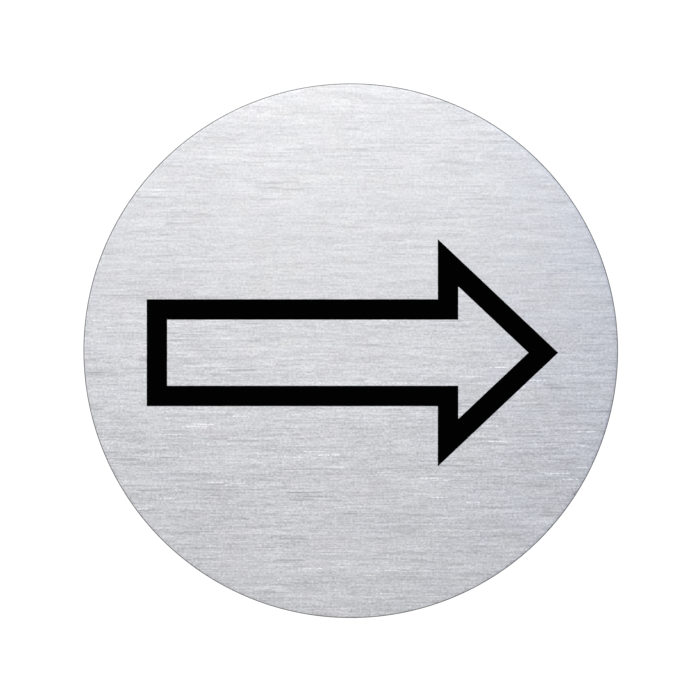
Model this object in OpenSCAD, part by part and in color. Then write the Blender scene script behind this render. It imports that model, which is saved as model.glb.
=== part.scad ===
// Round direction sign for a wall or a door.
//
// A brushed steel disc carries an outline arrow in black ink on its front, and
// a round double-sided foam pad on its back holds it to a flat surface.
//
// Frame: the origin is the centre of the pad's rear adhesive face, which is the
// plane of the wall. +X is the way the arrow points, +Z is up, and +Y goes into
// the wall, so the sign is read from the -Y side. Everything is in millimetres.

/* [Disc] */
// Diameter of the steel disc
disc_d = 80; // [65:0.5:120]
// Thickness of the steel disc
disc_t = 1.5; // [0.8:0.1:3]
// Radius of the front edge, where the cut edge was broken by brushing
front_edge_r = 0.17; // [0.05:0.01:0.35]
// Width of the small chamfer around the back edge
back_edge_c = 0.12; // [0.05:0.01:0.3]

/* [Arrow] */
// Length of the printed arrow from its tail to its tip
arrow_len = 61.45; // [50:0.05:62]
// Length of the arrow head, from its back edge to its tip
head_len = 17.95; // [16:0.05:22]
// Height of the arrow head across its two barbs
head_h = 33.9; // [30:0.1:38]
// Outer height of the arrow's shaft
shaft_h = 15.95; // [13:0.05:18]
// Width of the line that the arrow is drawn with
stroke = 3; // [2:0.1:3.6]
// How far the print sits to the right of the disc's centre
print_dx = 0.25; // [-0.5:0.05:0.5]
// How far the print sits below the disc's centre
print_drop = 0.3; // [-0.5:0.05:0.5]
// Thickness of the ink film
ink_t = 0.03; // [0.01:0.01:0.1]

/* [Adhesive pad] */
// Diameter of the foam pad
pad_d = 72; // [50:0.5:76]
// Thickness of the foam pad with its adhesive
pad_t = 1; // [0.5:0.1:2]

/* [Hidden] */

$fn = 128;
disc_r = disc_d / 2;
// Straight pieces that stand for the quarter round on the disc's front edge
edge_steps = 6;
// Distance from the wall to the disc's front face
face_y = pad_t + disc_t;

// Points of a quarter round of radius r about c, from angle a0 to a1
function arc(c, r, a0, a1, n) =
    [for (i = [0 : n]) let (a = a0 + (a1 - a0) * i / n) [c[0] + r * cos(a), c[1] + r * sin(a)]];

// Half of the disc's section: radius across, height from its back face up
function disc_section() = concat(
    [[0, 0], [disc_r - back_edge_c, 0], [disc_r, back_edge_c]],
    arc([disc_r - front_edge_r, disc_t - front_edge_r], front_edge_r, 0, 90, edge_steps),
    [[0, disc_t]]
);

// Outline of an arrow that points along +X, centred on its own length.
// t is how far the outline lies inside the arrow's outer edge, with sharp
// corners, so t = 0 is the outer edge and t = stroke is the inner one.
function arrow(t) =
    let (
        slope = (head_h / 2) / head_len,               // rise of the slanted edge
        edge = sqrt(1 + slope * slope),
        tail_x = -arrow_len / 2 + t,
        back_x = arrow_len / 2 - head_len + t,
        tip_x = arrow_len / 2 - t * edge / slope,
        shaft_y = shaft_h / 2 - t,
        barb_y = (tip_x - back_x) * slope
    )
    [
        [tail_x, -shaft_y], [back_x, -shaft_y], [back_x, -barb_y],
        [tip_x, 0],
        [back_x, barb_y], [back_x, shaft_y], [tail_x, shaft_y]
    ];

// Turns a piece drawn flat, with +Z as its front, to face -Y at a distance y
// from the wall
module facing(y) {
    translate([0, -y, 0]) rotate([90, 0, 0]) children();
}

// The steel disc, cut from sheet, with its edges broken
module face_disc() {
    color([0.80, 0.81, 0.83])
        facing(pad_t)
            rotate_extrude() polygon(disc_section());
}

// The arrow's line as one film of ink on the disc's front face
module arrow_print() {
    color([0.01, 0.01, 0.01])
        facing(face_y)
            translate([print_dx, -print_drop, 0])
                linear_extrude(height = ink_t)
                    difference() {
                        polygon(arrow(0));
                        polygon(arrow(stroke));
                    }
}

// The foam pad behind the disc
module adhesive_pad() {
    color([0.93, 0.93, 0.91])
        facing(0)
            cylinder(h = pad_t, d = pad_d);
}

face_disc();
arrow_print();
adhesive_pad();
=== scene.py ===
"""Looks of a round brushed-steel arrow sign: steel disc, printed arrow, foam pad.

Metres, in the CAD model's frame: the face looks along -Y, the arrow points
along +X, and the wall is the plane y = 0.
"""
import math

import bmesh
import bpy
import numpy as np
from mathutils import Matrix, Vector
from mathutils.noise import voronoi as voronoi_noise


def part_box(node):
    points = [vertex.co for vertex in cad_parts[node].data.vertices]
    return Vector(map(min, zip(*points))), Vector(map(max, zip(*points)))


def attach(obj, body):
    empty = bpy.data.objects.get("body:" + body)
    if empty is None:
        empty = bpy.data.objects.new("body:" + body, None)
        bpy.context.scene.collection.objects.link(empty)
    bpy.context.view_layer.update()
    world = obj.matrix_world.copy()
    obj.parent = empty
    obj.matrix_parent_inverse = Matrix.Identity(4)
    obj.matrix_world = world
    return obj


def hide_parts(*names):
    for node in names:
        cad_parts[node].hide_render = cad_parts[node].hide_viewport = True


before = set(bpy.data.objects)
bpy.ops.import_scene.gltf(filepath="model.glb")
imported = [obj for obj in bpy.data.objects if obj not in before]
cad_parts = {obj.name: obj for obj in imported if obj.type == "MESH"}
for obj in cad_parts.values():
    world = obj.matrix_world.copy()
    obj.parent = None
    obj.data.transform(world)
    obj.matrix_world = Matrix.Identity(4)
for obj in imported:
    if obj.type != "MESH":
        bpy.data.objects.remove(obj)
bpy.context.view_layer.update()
scene = bpy.context.scene
MM = 0.001

disc_low, disc_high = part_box("face_disc")
print_low, print_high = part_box("arrow_print")
pad_low, pad_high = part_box("adhesive_pad")

DISC_R = min(disc_high.x, disc_high.z, -disc_low.x, -disc_low.z)
PAD_R = min(pad_high.x, pad_high.z, -pad_low.x, -pad_low.z)
FACE_Y = disc_low.y      # the disc's printed face
BACK_Y = disc_high.y     # the disc's back, which the pad sticks to
WALL_Y = pad_high.y


# ---------------------------------------------------------------- node helper
class Tree:
    """Short ways to add and join nodes in one material's or the world's tree."""

    def __init__(self, owner):
        owner.use_nodes = True
        self.t = owner.node_tree
        self.t.nodes.clear()
        self.x = 0

    def node(self, kind, inputs=None, **props):
        n = self.t.nodes.new(kind)
        self.x += 40
        n.location = (self.x, -(self.x % 400))
        for k, v in props.items():
            setattr(n, k, v)
        for k, v in (inputs or {}).items():
            self.put(n.inputs[k], v)
        return n

    def put(self, socket, v):
        if isinstance(v, bpy.types.NodeSocket):
            self.t.links.new(v, socket)
        elif v is not None:
            if isinstance(v, tuple):        # a colour may go to a vector socket, which has no fourth number
                v = v[: len(socket.default_value)]
            socket.default_value = v

    def math(self, op, a, b=None, c=None, clamp=False):
        n = self.node("ShaderNodeMath", operation=op, use_clamp=clamp)
        for i, v in enumerate((a, b, c)):
            if v is not None:
                self.put(n.inputs[i], v)
        return n.outputs[0]

    def add(self, *v):
        out = v[0]
        for x in v[1:]:
            out = self.math("ADD", out, x)
        return out

    def mul(self, a, b):
        return self.math("MULTIPLY", a, b)

    def ramp(self, v, a, b, lo=0.0, hi=1.0, smooth=True):
        n = self.node("ShaderNodeMapRange", {"Value": v, "From Min": a, "From Max": b, "To Min": lo, "To Max": hi})
        n.interpolation_type = "SMOOTHSTEP" if smooth else "LINEAR"
        return n.outputs[0]

    def bands(self, v, stops):
        """A smooth run of colours over v, which lies within -1 to 1."""
        n = self.node("ShaderNodeValToRGB", {0: self.math("MULTIPLY_ADD", v, 0.5, 0.5)})
        n.color_ramp.interpolation = "B_SPLINE"
        e = n.color_ramp.elements
        while len(e) < len(stops):
            e.new(0.5)
        for i, (at, c) in enumerate(stops):
            e[i].position = at * 0.5 + 0.5
            e[i].color = (*c, 1)
        return n.outputs[0]

    def place(self):
        return self.node("ShaderNodeTexCoord").outputs["Object"]

    def noise(self, where, cell, seed=0.0, detail=0.0, rough=0.5):
        """Noise about 0 whose cells are this many millimetres along X, Y and Z. A cell of 0 leaves that axis out."""
        m = self.node("ShaderNodeMapping", {"Vector": where})
        m.inputs["Scale"].default_value = [1000 / c if c else 0 for c in cell]
        m.inputs["Location"].default_value = (seed * 7.31, seed * 3.77, seed * 11.13)
        n = self.node("ShaderNodeTexNoise", {"Vector": m.outputs[0], "Scale": 1.0, "Detail": detail, "Roughness": rough})
        return self.math("SUBTRACT", n.outputs["Fac"], 0.5)

    def strokes(self, flat, long, thick, seed=0.0):
        """Straight, even-toned strokes about 0: rows of uneven thickness along the first axis, each cut into uneven
        lengths. long and thick are a little over the mean length and thickness, in millimetres."""
        x, y, _ = self.node("ShaderNodeSeparateXYZ", {0: flat}).outputs
        row = self.cells(self.math("MULTIPLY_ADD", y, 1120 / thick, seed * 9.43))
        return self.math("SUBTRACT", self.cells(self.math("MULTIPLY_ADD", x, 1120 / long, self.math("MULTIPLY_ADD", row, 4999.0, seed * 5.17))), 0.5)

    def cells(self, w):
        """A random number from 0 to 1 for each of the uneven cells that w runs through."""
        n = self.node("ShaderNodeTexVoronoi", {"W": w, "Scale": 1.0, "Randomness": 1.0}, voronoi_dimensions="1D", feature="F1")
        return self.node("ShaderNodeSeparateColor", {0: n.outputs["Color"]}).outputs[0]

    def colour(self, fac, a, b):
        n = self.node("ShaderNodeMix", data_type="RGBA")
        n.inputs[0].default_value = 0
        self.put(n.inputs[0], fac)
        self.put(n.inputs[6], a)
        self.put(n.inputs[7], b)
        return n.outputs[2]

    def scale_colour(self, colour, value):
        n = self.node("ShaderNodeVectorMath", operation="SCALE")
        self.put(n.inputs[0], colour)
        self.put(n.inputs["Scale"], value)
        return n.outputs[0]

    def scale_colours(self, a, b):
        return self.node("ShaderNodeVectorMath", {0: a, 1: b}, operation="MULTIPLY").outputs[0]

    def bump(self, height, metres, strength=1.0, normal=None):
        n = self.node("ShaderNodeBump", {"Height": height, "Distance": metres, "Strength": strength})
        if normal is not None:
            self.put(n.inputs["Normal"], normal)
        return n.outputs[0]

    def surface(self, **inputs):
        s = self.node("ShaderNodeBsdfPrincipled")
        for k, v in inputs.items():
            self.put(s.inputs[k.replace("_", " ")], v)
        out = self.node("ShaderNodeOutputMaterial")
        self.t.links.new(s.outputs[0], out.inputs["Surface"])
        return s


def material(name):
    m = bpy.data.materials.new(name)
    return m, Tree(m)


STEEL = (0.6523, 0.6432, 0.6680, 1)


def grain(t, where):
    """The brushed grain, in parts that are each about 0 on average: strokes that run along X."""
    # the strokes bend a very little, as a belt wanders
    wander = t.noise(where, (14, 0, 5), 9)
    sep = t.node("ShaderNodeSeparateXYZ", {0: where})
    # they are finer towards the bottom of the face
    up = sep.outputs[2]
    z = t.add(up, t.mul(t.mul(up, up), -1.9), t.mul(wander, 0.00004))
    bent = t.node("ShaderNodeCombineXYZ", {0: sep.outputs[0], 1: 0.0, 2: z}).outputs[0]
    flat = t.node("ShaderNodeCombineXYZ", {0: sep.outputs[0], 1: z, 2: 0.0}).outputs[0]
    g = {
        "long": t.add(t.mul(t.noise(bent, (4.6, 0, 0.24), 2), 0.8), t.mul(t.noise(bent, (14, 0, 0.26), 7), 0.6)),
        "hair": t.strokes(flat, 10.0, 0.25, 41),
        "fine": t.strokes(flat, 4.6, 0.25, 1),
        "mid": t.strokes(flat, 1.6, 0.24, 10),
        "dash": t.strokes(flat, 0.65, 0.24, 6),
        "grit": t.noise(bent, (0.34, 0, 0.27), 4),
        "wide": t.noise(bent, (7.0, 0, 0.8), 3),
        "cloud": t.noise(where, (11, 0, 5), 5, 1.0),
        "patch": t.noise(where, (9, 0, 3.5), 8, 1.0),
    }
    # deeper strokes, dark, and burnished ones, bright: thin, short and few, in clusters, and broken by the grit
    g["low"] = t.ramp(up, 0.020, -0.016)   # the lower half of the face is brushed harder
    s1 = t.add(t.strokes(flat, 4.2, 0.22, 21), t.mul(g["patch"], 0.15))
    s2 = t.add(t.strokes(flat, 3.2, 0.18, 22), t.mul(g["cloud"], 0.10), t.mul(g["low"], 0.004))
    g["dark"] = t.mul(t.ramp(s1, 0.445, 0.49), t.add(0.9, t.mul(g["grit"], 1.6)))
    g["light"] = t.mul(t.ramp(s2, 0.487, 0.501), t.mul(t.add(0.9, t.mul(g["grit"], 2.2)), t.add(0.25, t.mul(g["low"], 0.75))))
    return g


def brushed_face():
    m, t = material("brushed_steel_face")
    p = t.place()
    g = grain(t, p)
    streak = t.add(
        t.mul(g["long"], 0.06),
        t.mul(g["hair"], 0.088),
        t.mul(g["fine"], 0.098),
        t.mul(g["mid"], 0.086),
        t.mul(g["dash"], 0.08),
        t.mul(g["grit"], 0.35),
        t.mul(g["dark"], -0.14),
        t.mul(g["light"], 0.25),
    )
    force = t.add(0.93, t.mul(g["low"], 0.50), t.mul(g["patch"], 0.6))
    # a broad and very faint lighter band across the middle of the face, fading out towards the right, is painted into
    # the steel's tone: a painted highlight standing in for the light's reflection
    x, _, up = t.node("ShaderNodeSeparateXYZ", {0: p}).outputs
    painted_highlight_band = t.mul(t.ramp(t.math("ABSOLUTE", t.add(up, 0.0035)), 0.013, 0.001), t.ramp(x, 0.030, 0.012))
    # the tone carries the painted highlight band, up to 3.4 % lighter
    tone = t.add(1.0, t.mul(streak, force), t.mul(g["wide"], 0.09), t.mul(g["cloud"], 0.035), t.mul(painted_highlight_band, 0.034))
    # the metal's colour drifts a very little, cooler here and warmer there
    cool, rosy = t.noise(p, (4.2, 0, 2.8), 11, 1.0), t.noise(p, (3.4, 0, 2.4), 12, 1.0)
    drift = t.node("ShaderNodeCombineXYZ", {
        0: t.add(1.0, t.mul(cool, -0.034), t.mul(rosy, 0.016)),
        1: t.add(1.0, t.mul(rosy, -0.024)),
        2: t.add(1.0, t.mul(cool, 0.034), t.mul(rosy, 0.014)),
    }).outputs[0]
    col = t.scale_colours(t.scale_colour(STEEL, tone), drift)
    rough = t.add(0.34, t.mul(g["long"], 0.04), t.mul(g["grit"], 0.05))
    h = t.add(t.mul(g["long"], 0.3), t.mul(g["grit"], 0.9), t.mul(g["dark"], -0.4))
    n = t.bump(h, 0.0000006)
    tangent = t.node("ShaderNodeCombineXYZ", {0: 0.0, 1: 0.0, 2: 1.0}).outputs[0]
    t.surface(Base_Color=col, Metallic=1.0, Roughness=rough, Anisotropic=0.65, Normal=n, Tangent=tangent)
    return m


def cut_edge():
    m, t = material("steel_cut_edge")
    p = t.place()
    lines = t.noise(p, (0.16, 2.4, 0.16), 31)
    drag = t.noise(p, (0.5, 5, 0.5), 32, 1)
    blotch = t.noise(p, (4, 1.2, 4), 33, 2)
    tone = t.add(0.24, t.mul(lines, 0.18), t.mul(drag, 0.14), t.mul(blotch, 0.11))
    col = t.scale_colour((0.66, 0.66, 0.665, 1), tone)
    n = t.bump(t.add(lines, drag), 0.00001)
    t.surface(Base_Color=col, Metallic=1.0, Roughness=t.add(0.42, t.mul(lines, 0.2)), Normal=n)
    return m


def mill_back():
    m, t = material("steel_mill_back")
    p = t.place()
    roll = t.add(t.noise(p, (9, 0, 0.16), 41), t.noise(p, (25, 0, 0.5), 44))
    pits = t.noise(p, (0.20, 0, 0.18), 42, 2)
    smear = t.noise(p, (6, 0, 6), 43, 3)
    hair = t.add(t.noise(p, (2.6, 0, 0.12), 45), t.mul(smear, 0.15))
    hair = t.ramp(hair, 0.24, 0.36)
    tone = t.add(0.80, t.mul(roll, 0.20), t.mul(pits, 0.30), t.mul(smear, 0.20), t.mul(hair, 0.18))
    col = t.scale_colour(STEEL, tone)
    n = t.bump(t.add(pits, t.mul(roll, 0.5)), 0.000003)
    t.surface(Base_Color=col, Metallic=1.0, Roughness=t.add(0.40, t.mul(smear, 0.2), t.mul(pits, 0.1)), Normal=n)
    return m


def ink():
    m, t = material("black_ink_film")
    p = t.place()
    g = grain(t, p)
    mesh = t.noise(p, (0.11, 0, 0.11), 51)
    tone = t.add(1.0, t.mul(g["long"], 0.5), t.mul(mesh, 0.8))
    col = t.scale_colour((0.0002, 0.0002, 0.00022, 1), tone)
    n = t.bump(t.add(t.mul(g["long"], 0.9), t.mul(mesh, 0.5)), 0.0000015)
    t.surface(Base_Color=col, Metallic=0.0, Roughness=t.add(0.34, t.mul(mesh, 0.16), t.mul(g["long"], 0.10)), Specular_IOR_Level=0.3, Specular_Tint=(0.015, 0.015, 0.016, 1), Normal=n)
    return m


def foam_edge():
    m, t = material("foam_pad_edge")
    p = t.place()
    m1 = t.node("ShaderNodeMapping", {"Vector": p})
    m1.inputs["Scale"].default_value = (3100, 3600, 3100)
    v = t.node("ShaderNodeTexVoronoi", {"Vector": m1.outputs[0], "Scale": 1.0, "Randomness": 1.0}, feature="F1")
    cell = v.outputs["Distance"]
    mott = t.noise(p, (1.6, 0.8, 1.6), 61, 2)
    tone = t.add(0.84, t.mul(t.ramp(cell, 0.05, 0.6), 0.20), t.mul(mott, 0.10))
    col = t.scale_colour((0.80, 0.79, 0.75, 1), tone)
    n = t.bump(t.noise(p, (0.12, 0.12, 0.12), 62), 0.00003, 0.6)
    t.surface(Base_Color=col, Metallic=0.0, Roughness=0.75, Specular_IOR_Level=0.35, Normal=n)
    return m


def adhesive_face():
    m, t = material("adhesive_face")
    p = t.place()
    m1 = t.node("ShaderNodeMapping", {"Vector": p})
    m1.inputs["Scale"].default_value = (1900, 0, 1900)
    v = t.node("ShaderNodeTexVoronoi", {"Vector": m1.outputs[0], "Scale": 1.0, "Randomness": 1.0}, feature="F1")
    cell = v.outputs["Distance"]
    big = t.noise(p, (1.3, 0, 1.3), 74, 2)
    mott = t.noise(p, (9, 0, 7), 71, 3)
    lay = t.noise(p, (30, 0, 0.8), 72, 1)
    specks = t.ramp(t.noise(p, (0.45, 0, 0.45), 73), 0.22, 0.32)
    tone = t.add(0.97, t.mul(t.ramp(cell, 0.1, 0.8), -0.12), t.mul(big, 0.13), t.mul(mott, 0.10), t.mul(lay, 0.05), t.mul(specks, -0.16))
    col = t.scale_colour((0.78, 0.765, 0.71, 1), tone)
    n = t.bump(t.add(t.mul(t.ramp(cell, 0.0, 0.7), 0.8), t.mul(big, 0.8), t.mul(mott, 1.5), lay), 0.00005, 0.8)
    t.surface(Base_Color=col, Metallic=0.0, Roughness=t.add(0.42, t.mul(mott, 0.3), t.mul(big, 0.2), t.mul(cell, 0.1)), Specular_IOR_Level=0.5, Normal=n,
              Coat_Weight=0.55, Coat_Roughness=0.22)
    return m


# ---------------------------------------------------------------- meshes
def mesh_object(name, verts, faces, mats, index=None, smooth=None):
    me = bpy.data.meshes.new(name)
    me.from_pydata([tuple(v) for v in verts], [], faces)
    for m in mats:
        me.materials.append(m)
    if index is not None:
        me.polygons.foreach_set("material_index", index)
    me.polygons.foreach_set("use_smooth", smooth if smooth is not None else [True] * len(faces))
    me.update()
    ob = bpy.data.objects.new(name, me)
    scene.collection.objects.link(ob)
    return ob


def lathe(name, profile, mats, n=720):
    """A closed turned form about the Y axis. profile is a list of (radius, y, material index of the band to the
    next point), from the middle of the front to the middle of the back; the first and last radius are 0."""
    verts, faces, index = [], [], []
    verts.append((0, profile[0][1], 0))
    rings = []
    for r, y, _ in profile[1:-1]:
        start = len(verts)
        for k in range(n):
            a = 2 * math.pi * k / n
            verts.append((r * math.cos(a), y, r * math.sin(a)))
        rings.append(start)
    last = len(verts)
    verts.append((0, profile[-1][1], 0))
    for k in range(n):
        faces.append((0, rings[0] + k, rings[0] + (k + 1) % n))
        index.append(profile[0][2])
    for j in range(len(rings) - 1):
        for k in range(n):
            a, b = rings[j] + k, rings[j] + (k + 1) % n
            c, d = rings[j + 1] + (k + 1) % n, rings[j + 1] + k
            faces.append((a, d, c, b))
            index.append(profile[j + 1][2])
    for k in range(n):
        faces.append((last, rings[-1] + (k + 1) % n, rings[-1] + k))
        index.append(profile[-2][2])
    return mesh_object(name, verts, faces, mats, index)


def disc_profile():
    """The disc's section: a flat face that brushing has rolled over a hair at its rim, a broken edge, the cut
    wall, and a small break at the back."""
    R, f, b = DISC_R - 0.015 * MM, FACE_Y, BACK_Y
    er = 0.16 * MM           # radius of the broken front edge
    roll = 0.6 * MM          # width of the rolled margin of the face
    drop = 0.011 * MM        # how far it falls by the broken edge
    pts = [(0, f, 0)]
    for r in (0.006, 0.013, 0.020, 0.027, 0.033, 0.037):
        pts.append((r, f, 0))
    r0 = R - er - roll
    for i in range(9):
        u = i / 8
        pts.append((r0 + roll * u, f + drop * u * u * u, 0))
    a0 = math.atan(3 * drop / roll)
    cx, cy = R - er, f + drop + er
    for i in range(1, 11):
        a = a0 + (math.pi / 2 - a0) * i / 10
        # the face's finish ends part of the way round the edge
        pts.append((cx + er * math.sin(a), cy - er * math.cos(a), 1))
    pts[-11] = (pts[-11][0], pts[-11][1], 1)
    wall = [(R, f + (b - f) * u, 1) for u in (0.35, 0.5, 0.65, 0.8)]
    pts += wall
    c = 0.10 * MM
    for i in range(6):
        a = math.pi / 2 * i / 5
        pts.append((R - c + c * math.cos(a), b - c + c * math.sin(a), 1 if i < 5 else 2))
    for r in (0.0392, 0.038, 0.036, 0.030, 0.022, 0.014, 0.007):
        pts.append((r, b, 2))
    pts.append((0, b, 2))
    return pts


steel = lathe("face_disc_steel", disc_profile(), [brushed_face(), cut_edge(), mill_back()])
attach(steel, "root")
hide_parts("face_disc")


def arrow_corners():
    """The outer and inner outlines of the arrow, read from its CAD node's vertices on the front face."""
    co = [v.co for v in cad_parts["arrow_print"].data.vertices]
    front = sorted({(round(c.x, 6), round(c.z, 6)) for c in co if abs(c.y - print_low.y) < 1e-6})
    return front


ARROW = arrow_corners()


def ordered_outlines():
    """Seven outer and seven inner corners, both counterclockwise as seen with X right and Z up, starting at the
    tail's lower corner."""
    xs = sorted({p[0] for p in ARROW})
    mid = (print_low.z + print_high.z) / 2
    tail_out, tip_out = xs[0], xs[-1]
    tail_in = xs[1]
    tip_in = max(p[0] for p in ARROW if p[0] < tip_out - 1e-5 and abs(p[1] - mid) < 2e-5)
    backs = [x for x in xs if tail_in < x < tip_in]
    back_out, back_in = backs[0], backs[-1]
    def zs(x):
        return sorted({p[1] for p in ARROW if abs(p[0] - x) < 2e-6})
    zo, zi = zs(tail_out), zs(tail_in)
    bo, bi = zs(back_out), zs(back_in)
    outer = [(tail_out, zo[0]), (back_out, zo[0]), (back_out, bo[0]), (tip_out, mid), (back_out, bo[-1]), (back_out, zo[1]), (tail_out, zo[1])]
    inner = [(tail_in, zi[0]), (back_in, zi[0]), (back_in, bi[0]), (tip_in, mid), (back_in, bi[-1]), (back_in, zi[1]), (tail_in, zi[1])]
    return outer, inner


def rounded(points, radius, steps=6):
    """The closed outline with each corner rounded, steps + 1 points a corner. A negative turn is rounded too."""
    out = []
    n = len(points)
    for i, p in enumerate(points):
        p = Vector(p)
        a, b = Vector(points[i - 1]) - p, Vector(points[(i + 1) % n]) - p
        a.normalize()
        b.normalize()
        half = math.acos(max(-1, min(1, a.dot(b)))) / 2
        cut = radius / math.tan(half)
        centre = p + (a + b).normalized() * (radius / math.sin(half))
        s, e = p + a * cut - centre, p + b * cut - centre
        t0 = math.atan2(s.y, s.x)
        d = math.atan2(e.y, e.x) - t0
        d = (d + math.pi) % (2 * math.pi) - math.pi
        for k in range(steps + 1):
            t = t0 + d * k / steps
            out.append(centre + Vector((math.cos(t), math.sin(t))) * radius)
    return out


def inset(points, t, corner, steps):
    """The outline moved inward by t, for a counterclockwise outline (negative t moves it outward), corners rounded."""
    n = len(points)
    moved = []
    for i in range(n):
        p0, p1, p2 = Vector(points[i - 1]), Vector(points[i]), Vector(points[(i + 1) % n])
        d1, d2 = (p1 - p0).normalized(), (p2 - p1).normalized()
        n1, n2 = Vector((-d1.y, d1.x)), Vector((-d2.y, d2.x))
        k = (n1 + n2)
        k = k / k.length_squared * 2
        moved.append(p1 + k * t)
    return rounded(moved, corner, steps)


def make_print():
    """The ink film: a ribbon of even width with a soft shoulder and corners that the ink has filled a little."""
    outer, inner = ordered_outlines()
    thick = print_high.y - print_low.y
    sh = 0.014 * MM
    loops = []          # each (points, y), from the outer foot over the top to the inner foot
    st = 4
    y0, y1 = print_high.y, print_low.y
    prof = [(0.0, y0), (0.0, y0 - thick * 0.35), (sh * 0.15, y0 - thick * 0.65), (sh * 0.5, y0 - thick * 0.88), (sh, y1), (sh + 0.03 * MM, y1), (0.5 * MM, y1)]
    # the wet ink has run a hair past the stencil's edges
    for t, y in prof:
        loops.append((inset(outer, t - 0.018 * MM, 0.05 * MM, st), y))
    for t, y in reversed(prof):
        loops.append((inset(inner, 0.04 * MM - t, 0.05 * MM, st), y))
    n = len(loops[0][0])
    verts = [(p.x, y, p.y) for pts, y in loops for p in pts]
    faces = []
    L = len(loops)
    for j in range(L):
        for k in range(n):
            a, b = j * n + k, j * n + (k + 1) % n
            c, d = ((j + 1) % L) * n + (k + 1) % n, ((j + 1) % L) * n + k
            faces.append((a, b, c, d))
    ob = mesh_object("arrow_print_ink", verts, faces, [ink()])
    return ob


film = make_print()
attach(film, "root")
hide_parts("arrow_print")


def make_pad():
    R, f, b = PAD_R, pad_low.y, pad_high.y
    pts = [(0, f, 0)]
    for r in (0.012, 0.024, 0.033):
        pts.append((r, f, 0))
    t = b - f
    e = 0.05 * MM
    # the foam between its two adhesive layers pulls in a little where the die crushed it
    pts.append((R - 0.02 * MM - e, f, 0))
    pts.append((R - 0.02 * MM, f + e, 0))
    for i in range(1, 13):
        u = i / 13
        pts.append((R - 0.02 * MM - 0.08 * MM * math.sin(math.pi * u), f + e + (t - 2 * e) * u, 0))
    pts.append((R - 0.01 * MM, b - e, 0))
    pts.append((R - 0.03 * MM, b - e * 0.3, 0))
    pts.append((R - 0.07 * MM, b, 1))
    for r in (0.033, 0.024, 0.012):
        pts.append((r, b, 1))
    pts.append((0, b, 1))
    ob = lathe("adhesive_pad_foam", pts, [foam_edge(), adhesive_face()], 2400)
    # the die-cut edge is never quite a true circle, and the cut has opened the foam's cells
    rng = np.random.default_rng(5)
    ph = rng.uniform(0, 2 * math.pi, 12)
    for v in ob.data.vertices:
        r = math.hypot(v.co.x, v.co.z)
        if r > PAD_R - 0.2 * MM:
            a = math.atan2(v.co.z, v.co.x)
            w = sum(math.sin((7 + 9 * i) * a + ph[i]) for i in range(12)) / 12
            cut = 0.03 * MM * max(0.0, 0.5 + w)
            deep = min(1.0, (v.co.y - f) / (0.12 * MM), (b - v.co.y) / (0.12 * MM))
            if deep > 0:
                near = voronoi_noise(Vector((v.co.x * 3100, v.co.y * 3600, v.co.z * 3100)))[0][0]
                cut += 0.055 * MM * deep * max(0.0, 1 - (near / 0.55) ** 2)
            v.co.x *= 1 - cut / r
            v.co.z *= 1 - cut / r
    return ob


pad = make_pad()
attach(pad, "root")
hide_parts("adhesive_pad")


# ---------------------------------------------------------------- camera
# Square on to the face. The disc's silhouette is 534.6 of the picture's 700 pixels across, and its middle is
# 0.75 pixels right of and 0.72 below the picture's middle.
PX = 267.48 / 40.0 / MM          # pixels a metre at the disc
cam_data = bpy.data.cameras.new("camera")
cam_data.lens = 100
cam_data.sensor_width = 36
cam = bpy.data.objects.new("camera", cam_data)
scene.collection.objects.link(cam)
reach = 350 / PX * cam_data.lens / (cam_data.sensor_width / 2)
cam.location = (-0.75 / PX, FACE_Y + 0.22 * MM - reach, 0.72 / PX)
cam.rotation_euler = (math.pi / 2, 0, 0)
cam_data.clip_start, cam_data.clip_end = 0.01, 10
scene.camera = cam


# ---------------------------------------------------------------- floor
def make_floor():
    bm = bmesh.new()
    bmesh.ops.create_circle(bm, cap_ends=True, radius=1.2, segments=96)
    me = bpy.data.meshes.new("floor")
    bm.to_mesh(me)
    bm.free()
    ob = bpy.data.objects.new("floor", me)
    ob.location = (0, 0, -0.16)
    scene.collection.objects.link(ob)
    m, t = material("floor_paper")
    p = t.place()
    ln = t.node("ShaderNodeVectorMath", {0: p}, operation="LENGTH").outputs["Value"]
    fade = t.ramp(ln, 0.16, 0.60)
    d = t.node("ShaderNodeBsdfDiffuse", {"Color": (0.82, 0.82, 0.82, 1)})
    tr = t.node("ShaderNodeBsdfTransparent")
    mix = t.node("ShaderNodeMixShader", {0: fade, 1: d.outputs[0], 2: tr.outputs[0]})
    out = t.node("ShaderNodeOutputMaterial")
    t.t.links.new(mix.outputs[0], out.inputs["Surface"])
    me.materials.append(m)
    return ob


make_floor()


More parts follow.
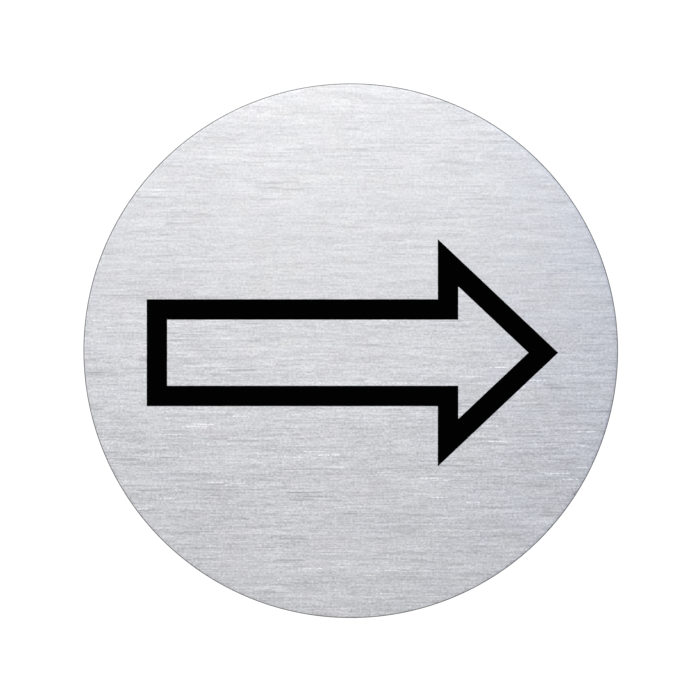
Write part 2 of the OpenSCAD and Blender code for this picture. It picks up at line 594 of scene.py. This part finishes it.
# ---------------------------------------------------------------- light
def make_world():
    w = bpy.data.worlds.new("studio")
    scene.world = w
    t = Tree(w)
    d = t.node("ShaderNodeTexCoord").outputs["Generated"]
    sep = t.node("ShaderNodeSeparateXYZ", {0: d})
    dx, dy, dz = sep.outputs
    # white all round, and in a band in front of the face a soft fall of light from above to below, which is
    # darker and cooler towards the right
    flat = t.math("SQRT", t.add(t.mul(dx, dx), t.mul(dy, dy), 0.0001))
    side = t.math("DIVIDE", dx, flat)
    front = t.mul(t.ramp(t.math("ABSOLUTE", side), 0.56, 0.26), t.ramp(dy, 0.0, -0.2))
    side = t.mul(side, t.add(1.0, t.mul(t.mul(dz, -2.0), t.ramp(t.math("ABSOLUTE", dz), 0.40, 0.16))))
    fall = t.add(0.99, t.mul(dz, 5.35))
    fall = t.math("MINIMUM", t.math("MAXIMUM", fall, 0.10), 2.6)
    tint = t.bands(side, [(-0.50, (1.0, 1.0, 1.0)), (-0.26, (0.57, 0.61, 0.71)), (-0.12, (0.643, 0.674, 0.752)), (0.0, (1.262, 1.231, 1.150)),
                          (0.10, (0.722, 0.757, 0.815)), (0.26, (0.02, 0.105, 0.32)), (0.50, (0.66, 0.73, 0.87))])
    tint = t.scale_colours(tint, t.bands(dz, [(-0.30, (0.962, 1.0, 1.055)), (0.0, (1.0, 1.0, 1.0)), (0.30, (1.05, 1.0, 0.915))]))
    below = t.ramp(dz, 0.15, -0.17)
    tint = t.colour(t.mul(t.ramp(dx, 0.0, 0.22), below), tint, t.scale_colours(tint, (0.22, 0.36, 0.57)))
    tint = t.colour(t.mul(t.ramp(dx, 0.0, 0.22), t.ramp(dz, 0.0, 0.25)), tint, t.scale_colours(tint, (1.10, 1.10, 1.10)))
    tint = t.colour(t.mul(t.ramp(dx, 0.0, -0.16), t.ramp(dz, 0.14, -0.20)), tint, t.scale_colours(tint, (0.595, 0.64, 0.71)))
    # a reflector stands low on the left
    low_left = t.mul(t.mul(t.ramp(dx, -0.20, -0.34), t.ramp(dz, 0.04, -0.10)), t.ramp(dz, -0.60, -0.36))
    c_front = t.colour(low_left, t.scale_colour(tint, fall), (1.15, 1.15, 1.16, 1))
    # the camera sees only the white paper round the sign
    seen = t.node("ShaderNodeLightPath").outputs["Is Camera Ray"]
    front = t.mul(front, t.math("SUBTRACT", 1.0, seen))
    c = t.colour(front, (1.06, 1.06, 1.06, 1), c_front)
    bg = t.node("ShaderNodeBackground", {"Color": c, "Strength": 1.0})
    out = t.node("ShaderNodeOutputWorld")
    t.t.links.new(bg.outputs[0], out.inputs["Surface"])


make_world()


def area(name, place, size, power, aim=(0, 0, 0), colour=(1, 1, 1)):
    li = bpy.data.lights.new(name, "AREA")
    li.shape = "RECTANGLE"
    li.size, li.size_y = size
    li.energy = power
    li.color = colour
    ob = bpy.data.objects.new(name, li)
    ob.location = place
    ob.rotation_euler = (Vector(aim) - Vector(place)).to_track_quat("-Z", "Y").to_euler()
    scene.collection.objects.link(ob)
    return ob


area("key", (-0.20, -0.15, 0.80), (0.5, 0.4), 1.6)

scene.view_settings.view_transform = "Standard"
scene.view_settings.look = "None"
